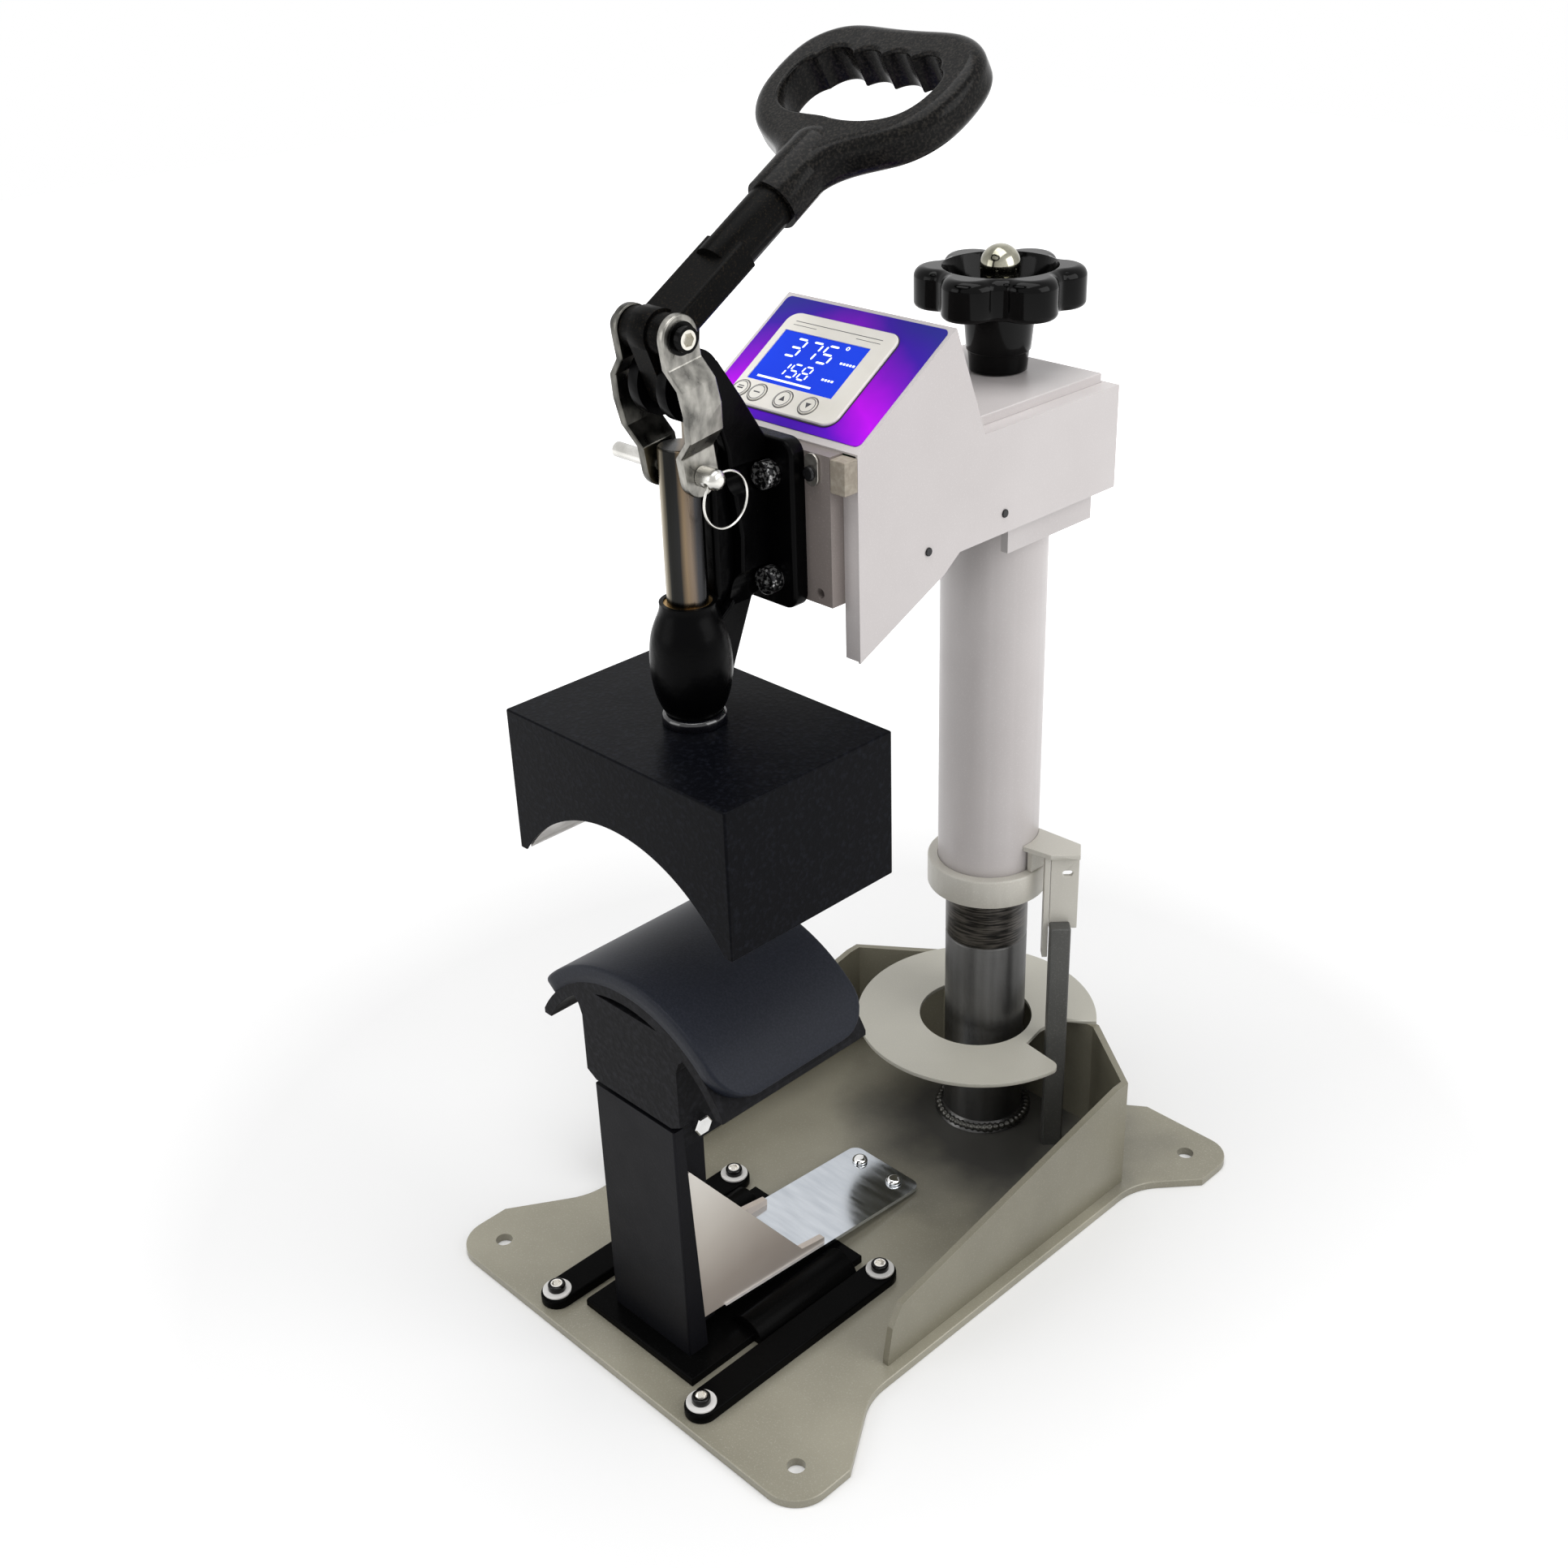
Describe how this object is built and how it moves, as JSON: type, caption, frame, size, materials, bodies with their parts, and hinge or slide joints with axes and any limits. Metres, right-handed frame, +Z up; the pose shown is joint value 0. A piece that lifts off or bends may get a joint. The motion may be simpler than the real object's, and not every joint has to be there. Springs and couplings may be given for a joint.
{
  "type": "cap heat press",
  "caption": "Swing-away cap heat press with curved heater, padded lower platen, toggle lever, height knob and sloping display panel.",
  "frame": {"origin": "centre of the four foot holes on the base plate's underside", "axes": "+Z up along the post; +X to the operator's right; -Y towards the operator"},
  "size_m": [0.371, 0.492, 0.8484],
  "materials": {
    "khaki": "satin",
    "post_steel": "satin",
    "dark_bar": "satin",
    "machined": "satin",
    "rail_black": "satin",
    "zinc": "satin",
    "polished": "gloss",
    "cast_dark": "matte",
    "silicone": "matte",
    "white_paint": "satin",
    "front_grey": "satin",
    "beige": "matte",
    "overlay": "gloss",
    "bezel": "satin",
    "lcd": "gloss",
    "key_cream": "satin",
    "board": "satin",
    "core": "satin",
    "black_plastic": "satin",
    "clip_steel": "satin",
    "screw_black": "satin",
    "cast_gloss": "gloss",
    "bush_bronze": "satin",
    "lever_black": "satin",
    "grip_black": "satin",
    "link_zinc": "satin",
    "nut_steel": "gloss",
    "cover_black": "satin",
    "mount_steel": "satin",
    "cast_alu": "satin",
    "rod_steel": "satin",
    "blanket": "matte",
    "knob_black": "gloss"
  },
  "bodies": {
    "base": {"base_plate": "khaki", "base_walls": "khaki", "swing_disc": "khaki", "post_tube": "post_steel", "stop_bar": "dark_bar", "lift_nut": "machined", "slide_rails": "rail_black", "rail_bolts": "zinc", "rail_washers": "zinc", "stand_foot": "rail_black", "stand_column": "rail_black", "stand_gussets": "polished", "stand_tongue": "polished", "tongue_screws": "zinc", "lower_platen": "cast_dark", "platen_screw": "zinc", "silicone_pad": "silicone"},
    "lift": {"thrust_race": "machined"},
    "screw": {"adjusting_screw": "machined", "pressure_knob": "knob_black", "knob_nut": "zinc"},
    "head": {"outer_tube": "white_paint", "tube_bushes": "bush_bronze", "tube_collar": "white_paint", "stop_bracket": "white_paint", "head_arm": "white_paint", "front_plate": "front_grey", "control_housing": "white_paint", "panel_overlay": "overlay", "display_bezel": "bezel", "display_glass": "lcd", "circuit_boards": "board", "transformer": "core", "power_inlet": "black_plastic", "corner_blocks": "beige", "panel_clips": "clip_steel", "housing_screws": "screw_black", "toggle_bracket": "cast_gloss", "bracket_bolts": "screw_black", "ram_bushes": "bush_bronze", "pivot_pin": "zinc"},
    "rocker": {"power_rocker": "black_plastic"},
    "key_1": {"panel_key_1": "key_cream"},
    "key_2": {"panel_key_2": "key_cream"},
    "key_3": {"panel_key_3": "key_cream"},
    "key_4": {"panel_key_4": "key_cream"},
    "lever": {"lever_arm": "lever_black", "hand_grip": "grip_black"},
    "ram": {"ram_rod": "link_zinc", "ram_locknut": "nut_steel", "heater_cover": "cover_black", "heater_mount": "mount_steel", "heater_platen": "cast_alu", "heating_rods": "rod_steel", "insulation_blanket": "blanket", "thermostat": "rod_steel"},
    "links": {"toggle_links": "link_zinc", "link_bolts": "link_zinc"},
    "pin": {"quick_pin": "zinc"},
    "ring": {"pin_ring": "zinc"}
  },
  "joints": [
    {"name": "head_height", "type": "slide", "parent": "base", "child": "lift", "axis": [0, 0, 1], "range_m": [-0.04, 0.015]},
    {"name": "head_swing", "type": "hinge", "parent": "lift", "child": "head", "pos_m": [0, 0.156, 0.4], "axis": [0, 0, 1], "range_deg": [0, 100]},
    {"name": "knob_turn", "type": "hinge", "parent": "lift", "child": "screw", "pos_m": [0, 0.156, 0.64], "axis": [0, 0, 1], "range_deg": [-1440, 540]},
    {"name": "handle", "type": "hinge", "parent": "head", "child": "lever", "pos_m": [0, -0.131, 0.682], "axis": [1, 0, 0], "range_deg": [0, 157.25]},
    {"name": "ram_slide", "type": "slide", "parent": "head", "child": "ram", "axis": [0, 0, 1], "range_m": [-0.06563, 0]},
    {"name": "link_tilt", "type": "hinge", "parent": "ram", "child": "links", "pos_m": [0, -0.131, 0.63], "axis": [1, 0, 0], "range_deg": [-8.9, 0]},
    {"name": "quick_pin_slide", "type": "slide", "parent": "ram", "child": "pin", "axis": [1, 0, 0], "range_m": [0, 0.085]},
    {"name": "pin_ring_swing", "type": "hinge", "parent": "pin", "child": "ring", "pos_m": [0.0288, -0.131, 0.63], "axis": [0, -0.8572, -0.515], "range_deg": [0, 70]},
    {"name": "power_switch", "type": "hinge", "parent": "head", "child": "rocker", "pos_m": [-0.067, 0.014, 0.6155], "axis": [0, 1, 0], "range_deg": [0, 16]},
    {"name": "key_1_press", "type": "slide", "parent": "head", "child": "key_1", "axis": [0, 0.5412, -0.8409], "range_m": [0, 0.0008], "stiffness_N_per_m": 600},
    {"name": "key_2_press", "type": "slide", "parent": "head", "child": "key_2", "axis": [0, 0.5412, -0.8409], "range_m": [0, 0.0008], "stiffness_N_per_m": 600},
    {"name": "key_3_press", "type": "slide", "parent": "head", "child": "key_3", "axis": [0, 0.5412, -0.8409], "range_m": [0, 0.0008], "stiffness_N_per_m": 600},
    {"name": "key_4_press", "type": "slide", "parent": "head", "child": "key_4", "axis": [0, 0.5412, -0.8409], "range_m": [0, 0.0008], "stiffness_N_per_m": 600}
  ],
  "couplings": [
    {"joint": "knob_turn", "follows": "head_height", "rad_per_m": 628.32},
    {"joint": "ram_slide", "follows": "handle", "m_per_rad": -0.023912},
    {"joint": "link_tilt", "follows": "handle", "ratio": -0.056609}
  ]
}
